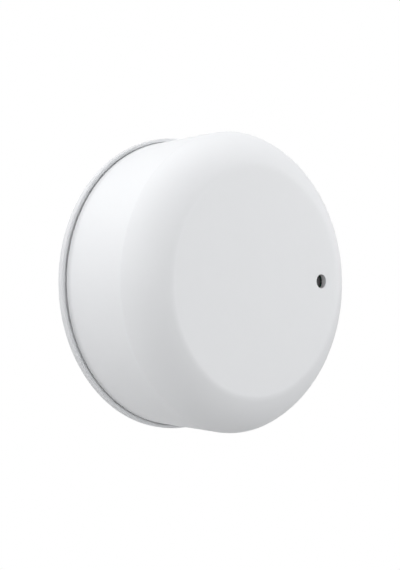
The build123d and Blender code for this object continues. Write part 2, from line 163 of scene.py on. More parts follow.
class Beacon(bpy.types.PropertyGroup):
    """All the settings of the beacon."""

    shell: PointerProperty(type=ShellSizes)
    plate: PointerProperty(type=PlateSizes)
    colours: PointerProperty(type=BeaconColours)
    stage: PointerProperty(type=StageSizes)


def settings():
    """The beacon's settings in this scene."""
    return bpy.context.scene.beacon


class Lengths:
    """The lengths of a group of settings, read in millimetres."""

    def __init__(self, group):
        self.group = group

    def __getattr__(self, name):
        return getattr(self.group, name) / MM


# Shader maths


class Field:
    """A value over a surface, with Python's operators for its maths."""

    def __init__(self, nodes, socket):
        self.nodes = nodes
        self.socket = socket

    def __add__(self, other):
        return self.nodes.math("ADD", self, other)

    def __sub__(self, other):
        return self.nodes.math("SUBTRACT", self, other)

    def __rsub__(self, other):
        return self.nodes.math("SUBTRACT", other, self)

    def __mul__(self, other):
        return self.nodes.math("MULTIPLY", self, other)

    def __gt__(self, other):
        return self.nodes.math("GREATER_THAN", self, other)

    def __lt__(self, other):
        return self.nodes.math("LESS_THAN", self, other)

    def __abs__(self):
        return self.nodes.math("ABSOLUTE", self)

    __radd__ = __add__
    __rmul__ = __mul__


class Nodes:
    """The nodes of a material or of the world, in front of its output."""

    def __init__(self, owner, output):
        owner.use_nodes = True
        self.tree = owner.node_tree
        self.tree.nodes.clear()
        self.surface = self.tree.nodes.new("ShaderNode" + output).inputs["Surface"]

    def feed(self, socket, value):
        """Set a socket to a number or a colour, or link a field to it."""
        if isinstance(value, Field):
            self.tree.links.new(value.socket, socket)
        elif socket.type == "RGBA":
            socket.default_value = (*value[:3], 1.0)
        else:
            socket.default_value = value

    def node(self, kind, sockets, output=0, **options):
        """Add one node, with its options set before its sockets."""
        made = self.tree.nodes.new("ShaderNode" + kind)
        for name, value in options.items():
            if name == "stops":
                self.set_stops(made.color_ramp, value)
            else:
                setattr(made, name, value)
        for key, value in sockets.items():
            self.feed(made.inputs[key], value)
        return Field(self, made.outputs[output])

    def set_stops(self, ramp, stops):
        """Give a ramp its two stops, each a place and a grey level."""
        for element, (place, level) in zip(ramp.elements, stops):
            element.position = place
            element.color = (level, level, level, 1.0)

    def math(self, operation, *values):
        """The result of a Math node."""
        return self.node("Math", dict(enumerate(values)), operation=operation)

    def ray(self, kind):
        """1 for rays of one kind, such as those of the camera, and 0 for the others."""
        return self.node("LightPath", {}, f"Is {kind} Ray")


class Finish(Nodes):
    """A material that is built up node by node around one shader."""

    def __init__(self, name):
        self.material = bpy.data.materials.new(name)
        super().__init__(self.material, "OutputMaterial")
        self.shader = self.tree.nodes.new("ShaderNodeBsdfPrincipled")
        self.tree.links.new(self.shader.outputs["BSDF"], self.surface)

    def put(self, name, value):
        """Set or link one socket of the shader."""
        self.feed(self.shader.inputs[name], value)

    def place(self):
        """Position on the piece, in metres."""
        return self.node("TexCoord", {}, "Object")

    def along(self, axis):
        """Position along one axis, in millimetres."""
        return self.node("SeparateXYZ", {"Vector": self.place()}, axis) * (1 / MM)

    def noise(self, grain, detail=2.0, stretch=(1.0, 1.0, 1.0)):
        """Noise whose features are about one grain across, in millimetres."""
        place = self.node("Mapping", {"Vector": self.place(), "Scale": stretch})
        return self.node("TexNoise", {"Vector": place, "Scale": 1 / (grain * MM), "Detail": detail})

    def cells(self, grain, output):
        """Rounded cells about one grain across, in millimetres."""
        return self.node("TexVoronoi", {"Vector": self.place(), "Scale": 1 / (grain * MM)}, output)

    def ramp(self, value, start, end):
        """A value passed through a ramp between two grey levels."""
        return self.node("ValToRGB", {"Fac": value}, stops=(start, end))

    def span(self, value, start, end):
        """A value's place on the way from its start to its end, eased at both."""
        sockets = {"Value": value, "From Min": start, "From Max": end}
        return self.node("MapRange", sockets, interpolation_type="SMOOTHSTEP")

    def mix(self, factor, first, second):
        """One colour blended into another."""
        return self.node("Mix", {"Factor": factor, 6: first, 7: second}, 2, data_type="RGBA")

    def mottle(self, field, tint, low, high):
        """A colour that changes with a field from one share of its brightness to another."""
        return self.mix(field, shade(tint, low), shade(tint, high))

    def cover(self, base, roughness, relief, depth, metallic=0.0):
        """Give the shader its base colour, roughness, relief of a depth in millimetres, and metal."""
        sockets = {"Height": relief, "Distance": depth * MM, "Strength": 1.0}
        self.put("Base Color", base)
        self.put("Roughness", roughness)
        self.put("Metallic", metallic)
        self.put("Normal", self.node("Bump", sockets, "Normal"))
        self.base = base
        return self


def grey(level):
    """A grey colour."""
    return (level, level, level)


def shade(tint, share):
    """A colour made darker or lighter by a share."""
    return tuple(min(1.0, part * share) for part in tint)


def moulded(name, tint, roughness, grain=0.16, depth=0.006, gloss=0.2):
    """Moulded plastic with a fine spark-eroded texture and faint flow marks."""
    finish = Finish(name)
    finish.put("Specular IOR Level", gloss)
    flow = finish.noise(14.0, 3.0, (1.0, 0.35, 1.0))
    base = finish.mottle(flow, tint, 0.985, 1.015)
    rough = finish.ramp(flow, (0.3, roughness - 0.03), (0.7, roughness + 0.03))
    return finish.cover(base, rough, finish.noise(grain), depth)


def shell_plastic(name, colours, size):
    """The shell's white moulding, with painted shade darkening it near its rear edge, and painted shade
    greying the wall of the button hole.
    """
    finish = moulded(name, colours.shell, 0.55, gloss=0.3)
    across = finish.along("X") - size.hole_place
    up = finish.along("Z")
    out = 0 - finish.along("Y")
    # Painted shade: the side wall darkens by up to a fifth over its last two millimetres before the rear
    # edge, where the plate's lip shades it
    rear_shade_reach = 2.0
    rear_shade_share = 0.2
    rear_shade = finish.span(out, size.rear_depth + rear_shade_reach, size.rear_depth)
    rear_shaded = finish.mix(rear_shade * rear_shade_share, finish.base, grey(0))
    # Painted shade: the wall of the button hole, from just behind the disc to 1.3 mm deep, is drawn in
    # the grey hole colour
    hole_shade_reach = size.hole_radius + 0.03
    hole_shade_start = size.depth - 0.06
    hole_shade_end = size.depth - 1.3
    reach = finish.math("SQRT", across * across + up * up)
    hole = (reach < hole_shade_reach) * (out < hole_shade_start) * (out > hole_shade_end)
    finish.put("Base Color", finish.mix(hole, rear_shaded, colours.hole))
    return finish


def foam(name, tint):
    """Closed-cell foam behind a thin adhesive film."""
    finish = Finish(name)
    patches = finish.noise(5.0, 3.0)
    rough = finish.ramp(patches, (0.35, 0.55), (0.65, 0.8))
    pores = finish.ramp(finish.cells(0.45, "Distance"), (0.0, 0.0), (0.6, 1.0))
    return finish.cover(finish.mottle(patches, tint, 0.93, 1.05), rough, pores, 0.05)


def rubber(name, tint):
    """Dull seal rubber with a powdery bloom."""
    finish = Finish(name)
    bloom = finish.mottle(finish.noise(2.5, 4.0), tint, 0.8, 1.6)
    return finish.cover(bloom, 0.7, finish.noise(0.12), 0.01)


def metal(name, tint, roughness):
    """Plated metal with a fine grain and faint tarnish."""
    finish = Finish(name)
    grain = finish.noise(0.1)
    tarnish = finish.mottle(finish.noise(4.0, 3.0), tint, 0.86, 1.08)
    rough = finish.ramp(grain, (0.35, roughness - 0.06), (0.65, roughness + 0.1))
    return finish.cover(tarnish, rough, grain, 0.004, metallic=1.0)


def label(name, tint):
    """Plain matt film with the faintest paper tooth."""
    finish = Finish(name)
    tooth = finish.noise(0.3, 3.0)
    return finish.cover(finish.mottle(tooth, tint, 0.97, 1.0), 0.5, tooth, 0.005)


def laminate(name, tint):
    """Green board with copper tracks under the mask and bare glass fibre at its edge."""
    finish = Finish(name)
    across = finish.along("X")
    up = finish.along("Z")
    track_pitch = 0.7
    track_width = 0.26
    mask_radius = 25.98
    glass_fibre = (0.42, 0.38, 0.2)
    patch = finish.node("SeparateColor", {"Color": finish.cells(6.0, "Color")})
    level = finish.math("PINGPONG", up, track_pitch / 2)
    upright = finish.math("PINGPONG", across, track_pitch / 2)
    is_level = patch > 0.5
    tracks = (level * is_level + upright * (1 - is_level)) < track_width / 2
    edge = (across * across + up * up) > mask_radius**2
    green = finish.mix(tracks, tint, shade(tint, 1.7))
    rough = finish.ramp(edge, (0.0, 0.3), (1.0, 0.75))
    return finish.cover(finish.mix(edge, green, glass_fibre), rough, tracks, 0.02)


def package(name, tint):
    """Dull moulding compound with a fine glassy grain."""
    finish = Finish(name)
    grain = finish.noise(0.08)
    return finish.cover(finish.mottle(grain, tint, 0.7, 1.5), 0.55, grain, 0.008)


def cell_sleeve(name, tint, side, long):
    """Plain printed sleeve with a pale band by the positive end, and bare metal at both ends."""
    finish = Finish(name)
    sleeve_start = 0.55
    sleeve_end = long - 2.4
    band_start = long - 9.0
    band_tint = (0.62, 0.60, 0.55)
    can_tint = (0.66, 0.66, 0.64)
    run = finish.along("X") * side + long / 2
    bare = 1 - (run > sleeve_start) * (run < sleeve_end)
    band = (run > band_start) * (run < sleeve_end)
    sleeve = finish.mottle(finish.noise(3.0, 4.0), tint, 0.85, 1.15)
    base = finish.mix(bare, finish.mix(band, sleeve, band_tint), can_tint)
    scratches = finish.noise(0.25, 2.0, (0.1, 1.0, 1.0))
    rough = finish.ramp(scratches, (0.35, 0.25), (0.65, 0.42))
    return finish.cover(base, rough, scratches, 0.003, metallic=bare)


def ended(name, tint, middle, half, axis, period):
    """A dull body with tinned metal past its half length on one axis, once in each period."""
    finish = Finish(name)
    offset = finish.along(axis) - middle
    end = (finish.math("PINGPONG", offset, period / 2) if period else abs(offset)) > half
    grain = finish.noise(0.08)
    base = finish.mix(end, finish.mottle(grain, tint, 0.75, 1.4), settings().colours.tin)
    return finish.cover(base, finish.ramp(end, (0.0, 0.55), (1.0, 0.35)), grain, 0.006, metallic=end)


# Modelling


def ease(shape, geometry, offset, segments, affect="EDGES"):
    """Round some edges or points of a shape."""
    bmesh.ops.bevel(
        shape, geom=geometry, offset=offset, affect=affect, segments=segments, profile=0.5, material=-1
    )


def outline(shape, corners):
    """Draw a profile in the plane of radius and depth, with each corner eased by its own round."""
    points = [shape.verts.new((radius, -depth, 0)) for radius, depth, _ in corners]
    for first, second in zip(points, points[1:]):
        shape.edges.new((first, second))
    for point, (*_, rounding) in zip(points, corners):
        if rounding:
            ease(shape, [point], rounding, 5, "VERTICES")


def loose_ends(shape):
    """The two ends of a profile, with the one nearer the axis first."""
    ends = [point for point in shape.verts if len(point.link_edges) == 1]
    return sorted(ends, key=lambda point: point.co.x)


def extend(shape, start, *places):
    """Carry a profile on from a point in straight lines, through places of radius and depth."""
    for radius, depth in places:
        point = shape.verts.new((radius, -depth, 0))
        shape.edges.new((start, point))
        start = point


def arc(shape, start, centre, angle, steps):
    """Sweep a point of the profile round a centre, and give back the point where it ends."""
    made = bmesh.ops.spin(
        shape, geom=[start], cent=(centre[0], -centre[1], 0), axis=(0, 0, 1), angle=angle, steps=steps
    )
    return [item for item in made["geom_last"] if isinstance(item, bmesh.types.BMVert)][0]


def turn(shape, steps):
    """Spin the profile about the puck's axis and close the seam and the poles."""
    profile = shape.verts[:] + shape.edges[:]
    bmesh.ops.spin(
        shape, geom=profile, cent=(0, 0, 0), axis=(0, 1, 0), angle=FULL_TURN, steps=steps, use_merge=True
    )
    bmesh.ops.remove_doubles(shape, verts=shape.verts, dist=MERGE_DISTANCE)
    bmesh.ops.recalc_face_normals(shape, faces=shape.faces)


def turned(corners, steps, closed=False):
    """A shape turned from a profile of corners alone."""
    shape = bmesh.new()
    outline(shape, corners)
    if closed:
        shape.edges.new(loose_ends(shape))
    turn(shape, steps)
    return shape


def add_object(name, data):
    """Put an object with this data into the scene."""
    made = bpy.data.objects.new(name, data)
    bpy.context.scene.collection.objects.link(made)
    return made


def solid(shape, name):
    """Put a shape into an object of its own, still in its own units."""
    mesh = bpy.data.meshes.new(name)
    shape.to_mesh(mesh)
    shape.free()
    return add_object(name, mesh)


def combine(piece, shape, operation):
    """Cut a shape out of a piece or join it on, and keep the result as the piece's mesh."""
    step = piece.modifiers.new("Combine", "BOOLEAN")
    step.operation = operation
    step.solver = "EXACT"
    step.object = solid(shape, "tool")
    graph = bpy.context.evaluated_depsgraph_get()
    mesh = bpy.data.meshes.new_from_object(piece.evaluated_get(graph))
    bpy.data.objects.remove(step.object)
    piece.modifiers.clear()
    piece.data = mesh


def posts(shape, places, radius, low, high, sides):
    """Add an upright cylinder between two depths at each place."""
    tall = high - low
    for x, z in places:
        place = Matrix.Translation((x, -(low + high) / 2, z)) @ Matrix.Rotation(QUARTER_TURN, 4, "X")
        bmesh.ops.create_cone(
            shape, cap_ends=True, segments=sides, radius1=radius, radius2=radius, depth=tall, matrix=place
        )


def block(shape, x, z, width, height, low, high):
    """Add an upright block between two depths."""
    size = Matrix.Diagonal((width, high - low, height, 1))
    bmesh.ops.create_cube(shape, size=1, matrix=Matrix.Translation((x, -(low + high) / 2, z)) @ size)


def rounded_block(width, height, low, high, corner, edge=0.0, taper=1.0):
    """A block between two depths, with its upright edges rounded and its other edges eased."""
    shape = bmesh.new()
    block(shape, 0, 0, width, height, low, high)
    front = [point for point in shape.verts if point.co.y < -(low + high) / 2]
    bmesh.ops.scale(shape, verts=front, vec=(taper, 1, taper))
    upright = [side for side in shape.edges if len(set(side.verts) & set(front)) == 1]
    ease(shape, upright, corner, 6)
    if edge:
        fold = math.radians(60)
        flat = [side for side in shape.edges if side.calc_face_angle(0) > fold]
        ease(shape, flat, edge, 3)
    return shape


def copies(part, places):
    """A shape that holds a finished part once at each place across and up."""
    held = bpy.data.meshes.new("held")
    part.to_mesh(held)
    part.free()
    shape = bmesh.new()
    for x, z in places:
        known = len(shape.verts)
        shape.from_mesh(held)
        bmesh.ops.translate(shape, verts=shape.verts[known:], vec=(x, 0, z))
    bpy.data.meshes.remove(held)
    return shape


def room(node):
    """The room that a node fills: its middle across and up, its width and height, and its two depths."""
    low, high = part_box(node)
    middle = (low + high) / 2 / MM
    size = (high - low) / MM
    return middle.x, middle.z, size.x, size.z, -high.y / MM, -low.y / MM


def settle(piece, finish, node, body="puck", place=(0, 0)):
    """Move a piece to its place, scale it to metres, smooth it and let it replace its node."""
    mesh = piece.data
    mesh.transform(Matrix.Scale(MM, 4) @ Matrix.Translation((place[0], 0, place[1])))
    mesh.shade_smooth()
    mesh.set_sharp_from_angle(angle=SHARP_ANGLE)
    mesh.materials.clear()
    mesh.materials.append(finish.material)
    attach(piece, body)
    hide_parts(node)


def dress(finish, *nodes):
    """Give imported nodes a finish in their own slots."""
    for name in nodes:
        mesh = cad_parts[name].data
        mesh.materials.clear()
        mesh.materials.append(finish.material)


def facing(around, above):
    """The way something faces the puck from an angle round it and an angle above it."""
    return Matrix.Rotation(around, 4, "Z") @ Matrix.Rotation(QUARTER_TURN - above, 4, "X")


class MakeShell(bpy.types.Operator):
    """Make the white shell, with its bosses, seal ledge and button hole"""

    bl_idname = "beacon.shell"
    bl_label = "Front Shell"

    # Each kind of boss: its places, its radius and rear end, and its pilot's radius and bottom
    bosses = (
        (COVER_SCREWS, 2.5, 7.2, 0.95, 15.2),
        (BOARD_SCREWS, 2.1, 20.7, 0.85, 23.3),
    )

    def execute(self, context):
        size = Lengths(settings().shell)
        inner_depth = size.depth - size.front_wall
        shell = solid(self.turn_shell(size, inner_depth), "shell")
        self.add_bosses(shell, inner_depth)
        self.cut_hole(shell, size, inner_depth)
        finish = shell_plastic("Satin white shell", settings().colours, size)
        settle(shell, finish, "front_housing")
        return {"FINISHED"}

    def turn_shell(self, size, inner_depth):
        """Turn the shell: ledge, rear edge and side wall, then the cap and the disc on both sides."""
        cap = size.cap_round
        inner_cap = cap - size.wall
        blend_cap = cap - size.disc_blend
        blend_depth = size.depth - size.disc_blend
        reach = size.crease_radius - size.disc_radius
        rise = size.depth - size.crease_depth
        slope = QUARTER_TURN - math.atan2(rise, reach) - math.asin(math.hypot(reach, rise) / 2 / cap)
        across = size.crease_radius - cap * math.cos(slope)
        level = size.crease_depth - cap * math.sin(slope)
        inner_sweep = math.asin((inner_depth - level) / inner_cap) - slope
        meet = math.asin((blend_depth - level) / blend_cap)
        blend_centre = (across + blend_cap * math.cos(meet), blend_depth)
        rear_inner = size.rear_radius - size.wall
        ledge_front = size.ledge_depth + size.ledge_thickness
        corners = [
            (across + inner_cap * math.cos(slope), level + inner_cap * math.sin(slope), 0),
            (rear_inner + 0.25, ledge_front, 0), (size.ledge_radius, ledge_front, 0.12),
            (size.ledge_radius, size.ledge_depth, 0.12), (rear_inner + 0.2, size.ledge_depth, 0),
            (rear_inner, size.rear_depth, 0.1), (size.rear_radius, size.rear_depth, 0.1),
            (size.crease_radius, size.crease_depth, 0),
        ]
        shape = bmesh.new()
        outline(shape, corners)
        inside, crease = loose_ends(shape)
        cap_end = arc(shape, crease, (across, level), slope - meet, 40)
        disc_edge = arc(shape, cap_end, blend_centre, meet - QUARTER_TURN, 16)
        extend(shape, disc_edge, (0, size.depth))
        inner_edge = arc(shape, inside, (across, level), -inner_sweep, 24)
        extend(shape, inner_edge, (0, inner_depth))
        ease(shape, [crease], size.crease_edge, 4, "VERTICES")
        turn(shape, 192)
        return shape

    def add_bosses(self, shell, inner_depth):
        """Join the four cover bosses and the two board bosses, and drill their pilots."""
        bosses = bmesh.new()
        pilots = bmesh.new()
        root = inner_depth + 0.5
        over = 0.2
        for places, radius, end, pilot, bottom in self.bosses:
            posts(bosses, places, radius, end, root, sides=48)
            posts(pilots, places, pilot, end - over, bottom, sides=24)
        combine(shell, bosses, "UNION")
        combine(shell, pilots, "DIFFERENCE")

    def cut_hole(self, shell, size, inner_depth):
        """Cut the button's hole and the well behind it, with the hole's rim rounded."""
        over = 1.0
        front = size.depth + over
        step = size.depth - size.hole_wall
        rim = size.depth - size.hole_edge
        mouth = size.hole_radius + size.hole_edge
        corners = [
            (0, inner_depth - over, 0), (size.well_radius, inner_depth - over, 0),
            (size.well_radius, step, 0), (size.hole_radius, step, size.hole_edge),
            (size.hole_radius, rim, 0),
        ]
        cutter = bmesh.new()
        outline(cutter, corners)
        flare = arc(cutter, loose_ends(cutter)[1], (mouth, rim), -QUARTER_TURN, 6)
        extend(cutter, flare, (mouth, front), (0, front))
        turn(cutter, 72)
        bmesh.ops.translate(cutter, verts=cutter.verts, vec=(size.hole_place, 0, 0))
        combine(shell, cutter, "DIFFERENCE")


class MakePlate(bpy.types.Operator):
    """Make the wall plate, with its locking ring, screw holes and foam pocket"""

    bl_idname = "beacon.plate"
    bl_label = "Wall Plate"

    def execute(self, context):
        size = Lengths(settings().plate)
        channel_floor = size.thickness - size.channel_depth
        ring_inner = size.ring_radius - size.ring_wall
        relief_inner = 22.0
        relief_outer = 27.0
        relief = 0.4
        corners = [
            (0, 0, 0),
            (relief_inner, 0, 0.08), (relief_inner, relief, 0.08),
            (relief_outer, relief, 0.08), (relief_outer, 0, 0.08),
            (size.radius, 0, size.back_round), (size.radius, size.thickness, size.front_round),
            (size.channel_radius, size.thickness, 0.06), (size.channel_radius, channel_floor, 0.1),
            (size.ring_radius, channel_floor, 0.1), (size.ring_radius, size.ring_depth, 0.12),
            (ring_inner, size.ring_depth, 0.12), (ring_inner, size.thickness, 0.15),
            (size.hub_radius, size.thickness, 0.12), (size.hub_radius, size.hub_thickness, 0.2),
            (0, size.hub_thickness, 0),
        ]
        plate = solid(turned(corners, 192), "plate")
        self.add_locks(plate, size, ring_inner)
        self.cut_openings(plate, size)
        finish = moulded("Satin white plate", settings().colours.plate, 0.6)
        settle(plate, finish, "wall_plate", "wall_mount")
        return {"FINISHED"}

    def add_locks(self, plate, size, ring_inner):
        """Join the three tabs with their stops and detent ribs."""
        tab_inner = ring_inner - size.tab_reach
        tab_sweep = 18
        stop_sweep = 3
        rib_turn = 9.5
        rib_radius = 0.3
        rib_end = 3.6
        overlap = 0.5
        foot = size.thickness - overlap
        root = ring_inner + overlap
        tabs = bmesh.new()
        stops = bmesh.new()
        ribs = bmesh.new()
        for start in (30, 150, 270):
            self.arc_block(tabs, tab_inner, root, start, tab_sweep, size.tab_rear, size.ring_depth)
            self.arc_block(stops, tab_inner, root, start, stop_sweep, foot, size.tab_rear + overlap)
            rib = math.radians(start + rib_turn)
            place = (ring_inner * math.cos(rib), ring_inner * math.sin(rib))
            posts(ribs, [place], rib_radius, foot, rib_end, sides=24)
        for shape in (tabs, stops, ribs):
            combine(plate, shape, "UNION")

    def arc_block(self, shape, inner, outer, start, sweep, low, high):
        """Add a stretch of round wall, from its section at the start angle."""
        section = bmesh.ops.create_grid(shape, x_segments=1, y_segments=1, size=0.5)["verts"]
        middle = ((inner + outer) / 2, -(low + high) / 2, 0)
        swing = Matrix.Rotation(-math.radians(start), 3, "Y")
        bmesh.ops.scale(shape, verts=section, vec=(outer - inner, high - low, 1))
        bmesh.ops.translate(shape, verts=section, vec=middle)
        bmesh.ops.rotate(shape, verts=section, matrix=swing)
        face = section[0].link_faces[0]
        geometry = section + face.edges[:] + [face]
        turns = -math.radians(sweep)
        bmesh.ops.spin(shape, geom=geometry, cent=(0, 0, 0), axis=(0, 1, 0), angle=turns, steps=8)
        bmesh.ops.recalc_face_normals(shape, faces=shape.faces)

    def cut_openings(self, plate, size):
        """Cut the foam's pocket and the two countersunk screw holes."""
        over = 1.0
        gap = 0.25
        width = size.pad_width + 2 * gap
        height = size.pad_height + 2 * gap
        pocket = rounded_block(width, height, -over, size.pad_thickness, size.pad_corner + gap)
        combine(plate, pocket, "DIFFERENCE")
        sink_depth = size.hub_thickness - (size.countersink - size.screw_hole)
        corners = [
            (0, -over, 0), (size.screw_hole, -over, 0),
            (size.screw_hole, sink_depth, 0.15), (size.countersink, size.hub_thickness, 0.1),
            (size.countersink, size.hub_thickness + over, 0), (0, size.hub_thickness + over, 0),
        ]
        places = [(side * size.screw_spacing / 2, 0) for side in (-1, 1)]
        combine(plate, copies(turned(corners, 64), places), "DIFFERENCE")


class MakePad(bpy.types.Operator):
    """Make the foam pad in the back of the plate"""

    bl_idname = "beacon.pad"
    bl_label = "Foam Pad"

    def execute(self, context):
        size = Lengths(settings().plate)
        low, high = 0, size.pad_thickness
        shape = rounded_block(size.pad_width, size.pad_height, low, high, size.pad_corner, FOAM_EDGE)
        pad = solid(shape, "pad")
        settle(pad, foam("Grey foam", settings().colours.foam), "adhesive_pad", "wall_mount")
        return {"FINISHED"}


class MakeButton(bpy.types.Operator):
    """Make the dark plunger in the button hole"""

    bl_idname = "beacon.button"
    bl_label = "Button"

    def execute(self, context):
        size = Lengths(settings().shell)
        _, _, width, _, stem_end, face = room("button_plunger")
        collar = width / 2
        collar_front = size.depth - size.front_wall - 0.2
        collar_rear = collar_front - 0.5
        stem = 0.8
        pin = 1.13
        corners = [
            (0, stem_end, 0), (stem, stem_end, 0.12),
            (stem, collar_rear, 0.08), (collar, collar_rear, 0.1),
            (collar, collar_front, 0.1), (pin, collar_front, 0.08),
            (pin, face, 0.15), (0, face, 0),
        ]
        plunger = solid(turned(corners, 72), "plunger")
        finish = moulded("Dark button", settings().colours.plunger, 0.5, grain=0.1)
        place = (size.hole_place, 0)
        settle(plunger, finish, "button_plunger", "button", place)
        return {"FINISHED"}


class MakeCells(bpy.types.Operator):
    """Make the two battery cells, with their crimped rims, nubs and plain sleeves, and their foam"""

    bl_idname = "beacon.cells"
    bl_label = "Cells"

    def execute(self, context):
        colours = settings().colours
        for name, side in (("upper", 1), ("lower", -1)):
            node = "battery_cell_" + name
            _, z, long, across, low, high = room(node)
            cell = solid(self.turn_can(across / 2, long), "cell_" + name)
            rear_end = Matrix.Translation((-side * long / 2, -(low + high) / 2, z))
            cell.data.transform(rear_end @ Matrix.Rotation(side * QUARTER_TURN, 4, "Z"))
            settle(cell, cell_sleeve("Cell " + name, colours.sleeve, side, long), node)
        *_, width, height, low, high = room("cell_cushion")
        cushion = solid(rounded_block(width, height, low, high, 0.8, FOAM_EDGE), "cushion")
        settle(cushion, foam("Cushion foam", colours.foam), "cell_cushion")
        return {"FINISHED"}

    def turn_can(self, radius, long):
        """Turn a cell about its own length, from its flat end to its nub."""
        crimp = long - 1.9
        cap = long - 0.8
        groove = radius - 0.28
        collar = radius - 0.05
        nub = 1.9
        corners = [
            (0, 0, 0), (3.2, 0, 0.08), (3.35, 0.25, 0.05), (4.2, 0.25, 0.05), (4.35, 0.1, 0.08),
            (radius, 0.1, 0.45), (radius, crimp - 0.5, 0.1),
            (groove, crimp - 0.15, 0.12), (groove, crimp + 0.15, 0.12),
            (collar, crimp + 0.5, 0.1), (collar, cap, 0.35),
            (3.9, cap, 0.08), (3.75, cap - 0.2, 0.05),
            (nub, cap - 0.2, 0.1), (nub, long, 0.3), (0, long, 0),
        ]
        return turned(corners, 64)


class MakeFixings(bpy.types.Operator):
    """Make the cover's and the board's screws, and the seal"""

    bl_idname = "beacon.fixings"
    bl_label = "Screws and Seal"

    def execute(self, context):
        plated = metal("Zinc screw", (0.55, 0.56, 0.57), 0.3)
        self.make_screws("cover_screw_set", "cover_screws", COVER_SCREWS, 2.1, 0.9, plated)
        self.make_screws("board_screw_set", "board_screws", BOARD_SCREWS, 1.5, 0.8, plated)
        _, _, width, _, low, high = room("cover_seal")
        inner = settings().shell.ledge_radius / MM
        outer = width / 2
        places = ((inner, low), (outer, low), (outer, high), (inner, high))
        seal = turned([(radius, depth, 0.2) for radius, depth in places], 128, closed=True)
        settle(solid(seal, "seal"), rubber("Seal rubber", (0.05, 0.05, 0.055)), "cover_seal")
        return {"FINISHED"}

    def make_screws(self, name, node, places, head, shank, finish):
        """Turn one pan-head screw with its thread, copy it to its places and cut the sockets."""
        low, high = room(node)[4:]
        seat = low + 1.0
        core = shank * 0.78
        pitch = 0.62
        crest = seat + 0.5
        corners = [
            (0, low, 0), (head * 0.55, low, 0.3), (head, low + 0.5, 0.2),
            (head, seat, 0.05), (shank, seat, 0.08), (shank, crest, 0),
        ]
        while crest + pitch < high - 0.6:
            corners.append((core, crest + pitch * 0.45, 0))
            crest += pitch
            corners.append((shank, crest, 0))
        corners += [(core, crest + 0.25, 0), (core, high - 0.35, 0), (core * 0.3, high, 0), (0, high, 0)]
        piece = solid(copies(turned(corners, 32), places), name)
        sockets = bmesh.new()
        socket_radius = 0.6
        socket_end = low + 0.7
        posts(sockets, places, socket_radius, low - 0.3, socket_end, sides=6)
        combine(piece, sockets, "DIFFERENCE")
        settle(piece, finish, node)


